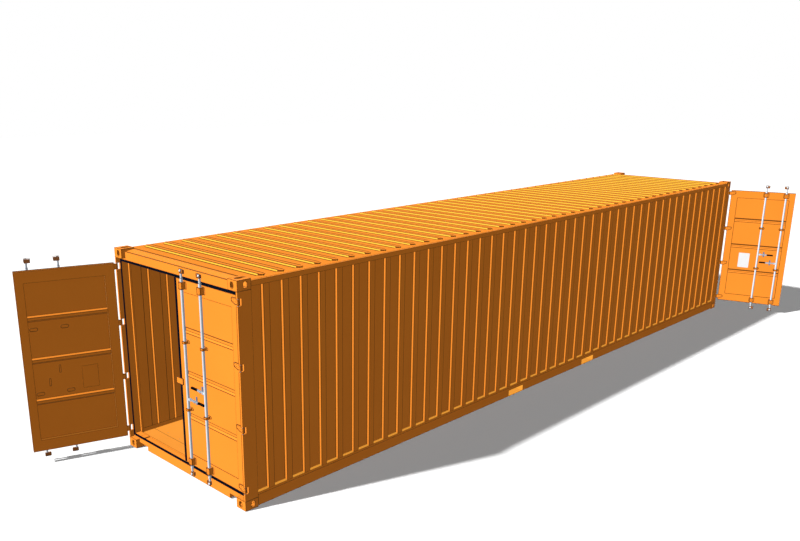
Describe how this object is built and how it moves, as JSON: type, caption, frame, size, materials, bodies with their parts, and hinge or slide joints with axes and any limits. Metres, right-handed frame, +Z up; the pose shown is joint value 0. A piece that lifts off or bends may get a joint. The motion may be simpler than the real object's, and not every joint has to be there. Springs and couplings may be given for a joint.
{
  "type": "shipping container",
  "caption": "Long corrugated steel freight container with double doors at both ends, locking bars, fork pockets and corner castings.",
  "frame": {"origin": "on the ground at the centre of the footprint, midway between the bottom castings' slots", "axes": "+X along the length, from the near end to the far end, +Y to the left side seen from the near end, +Z up"},
  "size_m": [13.7582, 3.874, 2.591],
  "materials": {
    "orange_paint": "satin",
    "brown_orange_paint": "satin",
    "floor_board": "matt",
    "seal_rubber": "matt",
    "galvanised": "satin",
    "handle_steel": "satin",
    "retainer_steel": "satin",
    "white_plate": "matt"
  },
  "bodies": {
    "container": {"corner_castings": "orange_paint", "corner_posts": "orange_paint", "end_headers": "orange_paint", "end_sills": "orange_paint", "doorway_seals": "seal_rubber", "top_side_rails": "orange_paint", "bottom_side_rails": "orange_paint", "left_side_wall": "orange_paint", "right_side_wall": "orange_paint", "roof_panel": "orange_paint", "header_plates": "orange_paint", "floor_boards": "floor_board", "cross_members": "brown_orange_paint", "fork_pockets": "brown_orange_paint", "hinge_pins": "galvanised"},
    "near_left_leaf": {"near_left_leaf_frame": "orange_paint", "near_left_leaf_panel": "orange_paint", "near_left_leaf_fittings": "orange_paint", "near_left_retainers": "retainer_steel", "near_left_plate": "white_plate"},
    "near_left_bar_a": {"near_left_bar_a": "galvanised"},
    "near_left_handle_a": {"near_left_handle_a": "handle_steel"},
    "near_left_bar_b": {"near_left_bar_b": "galvanised"},
    "near_left_handle_b": {"near_left_handle_b": "handle_steel"},
    "near_right_leaf": {"near_right_leaf_frame": "orange_paint", "near_right_leaf_panel": "orange_paint", "near_right_leaf_fittings": "orange_paint", "near_right_retainers": "retainer_steel", "near_right_meeting_seal": "seal_rubber", "near_right_lap_plate": "orange_paint"},
    "near_right_bar_a": {"near_right_bar_a": "galvanised"},
    "near_right_handle_a": {"near_right_handle_a": "handle_steel"},
    "near_right_bar_b": {"near_right_bar_b": "galvanised"},
    "near_right_handle_b": {"near_right_handle_b": "handle_steel"},
    "far_left_leaf": {"far_left_leaf_frame": "orange_paint", "far_left_leaf_panel": "orange_paint", "far_left_leaf_fittings": "orange_paint", "far_left_retainers": "retainer_steel", "far_left_plate": "white_plate"},
    "far_left_bar_a": {"far_left_bar_a": "galvanised"},
    "far_left_handle_a": {"far_left_handle_a": "handle_steel"},
    "far_left_bar_b": {"far_left_bar_b": "galvanised"},
    "far_left_handle_b": {"far_left_handle_b": "handle_steel"},
    "far_right_leaf": {"far_right_leaf_frame": "orange_paint", "far_right_leaf_panel": "orange_paint", "far_right_leaf_fittings": "orange_paint", "far_right_retainers": "retainer_steel", "far_right_meeting_seal": "seal_rubber", "far_right_lap_plate": "orange_paint"},
    "far_right_bar_a": {"far_right_bar_a": "galvanised"},
    "far_right_handle_a": {"far_right_handle_a": "handle_steel"},
    "far_right_bar_b": {"far_right_bar_b": "galvanised"},
    "far_right_handle_b": {"far_right_handle_b": "handle_steel"}
  },
  "joints": [
    {"name": "near_left_door_hinge", "type": "hinge", "parent": "container", "child": "near_left_leaf", "pos_m": [-6.084, 1.207, 1.3], "axis": [0, 0, -1], "range_deg": [-107.8, 159.2]},
    {"name": "near_left_bar_a_turn", "type": "hinge", "parent": "near_left_leaf", "child": "near_left_bar_a", "pos_m": [-6.73104, 1.40634, 1.3], "axis": [0, 0, 1], "range_deg": [-105, 0]},
    {"name": "near_left_handle_a_lift", "type": "hinge", "parent": "near_left_bar_a", "child": "near_left_handle_a", "pos_m": [-6.77293, 1.41979, 1.182], "axis": [0.3057, 0.9521, 0], "range_deg": [0, 15]},
    {"name": "near_left_bar_b_turn", "type": "hinge", "parent": "near_left_leaf", "child": "near_left_bar_b", "pos_m": [-7.06619, 1.51394, 1.3], "axis": [0, 0, -1], "range_deg": [-105, 0]},
    {"name": "near_left_handle_b_lift", "type": "hinge", "parent": "near_left_bar_b", "child": "near_left_handle_b", "pos_m": [-7.02429, 1.50049, 1.026], "axis": [-0.3057, -0.9521, 0], "range_deg": [0, 15]},
    {"name": "near_right_door_hinge", "type": "hinge", "parent": "container", "child": "near_right_leaf", "pos_m": [-6.084, -1.207, 1.3], "axis": [0, 0, 1], "range_deg": [0, 267]},
    {"name": "near_right_bar_a_turn", "type": "hinge", "parent": "near_right_leaf", "child": "near_right_bar_a", "pos_m": [-6.076, -0.53, 1.3], "axis": [0, 0, -1], "range_deg": [-105, 0]},
    {"name": "near_right_handle_a_lift", "type": "hinge", "parent": "near_right_bar_a", "child": "near_right_handle_a", "pos_m": [-6.076, -0.486, 1.182], "axis": [1, 0, 0], "range_deg": [0, 15]},
    {"name": "near_right_bar_b_turn", "type": "hinge", "parent": "near_right_leaf", "child": "near_right_bar_b", "pos_m": [-6.076, -0.178, 1.3], "axis": [0, 0, 1], "range_deg": [-105, 0]},
    {"name": "near_right_handle_b_lift", "type": "hinge", "parent": "near_right_bar_b", "child": "near_right_handle_b", "pos_m": [-6.076, -0.222, 1.026], "axis": [-1, 0, 0], "range_deg": [0, 15]},
    {"name": "far_left_door_hinge", "type": "hinge", "parent": "container", "child": "far_left_leaf", "pos_m": [6.084, -1.207, 1.3], "axis": [0, 0, -1], "range_deg": [-162.9, 104.1]},
    {"name": "far_left_bar_a_turn", "type": "hinge", "parent": "far_left_leaf", "child": "far_left_bar_a", "pos_m": [6.29071, -1.85172, 1.3], "axis": [0, 0, 1], "range_deg": [-105, 0]},
    {"name": "far_left_handle_a_lift", "type": "hinge", "parent": "far_left_bar_a", "child": "far_left_handle_a", "pos_m": [6.30365, -1.89377, 1.182], "axis": [-0.9558, -0.294, 0], "range_deg": [0, 15]},
    {"name": "far_left_bar_b_turn", "type": "hinge", "parent": "far_left_leaf", "child": "far_left_bar_b", "pos_m": [6.39421, -2.18816, 1.3], "axis": [0, 0, -1], "range_deg": [-105, 0]},
    {"name": "far_left_handle_b_lift", "type": "hinge", "parent": "far_left_bar_b", "child": "far_left_handle_b", "pos_m": [6.38128, -2.1461, 1.026], "axis": [0.9558, 0.294, 0], "range_deg": [0, 15]},
    {"name": "far_right_door_hinge", "type": "hinge", "parent": "container", "child": "far_right_leaf", "pos_m": [6.084, 1.207, 1.3], "axis": [0, 0, 1], "range_deg": [0, 267]},
    {"name": "far_right_bar_a_turn", "type": "hinge", "parent": "far_right_leaf", "child": "far_right_bar_a", "pos_m": [6.076, 0.53, 1.3], "axis": [0, 0, -1], "range_deg": [-105, 0]},
    {"name": "far_right_handle_a_lift", "type": "hinge", "parent": "far_right_bar_a", "child": "far_right_handle_a", "pos_m": [6.076, 0.486, 1.182], "axis": [-1, 0, 0], "range_deg": [0, 15]},
    {"name": "far_right_bar_b_turn", "type": "hinge", "parent": "far_right_leaf", "child": "far_right_bar_b", "pos_m": [6.076, 0.178, 1.3], "axis": [0, 0, 1], "range_deg": [-105, 0]},
    {"name": "far_right_handle_b_lift", "type": "hinge", "parent": "far_right_bar_b", "child": "far_right_handle_b", "pos_m": [6.076, 0.222, 1.026], "axis": [1, 0, 0], "range_deg": [0, 15]}
  ]
}
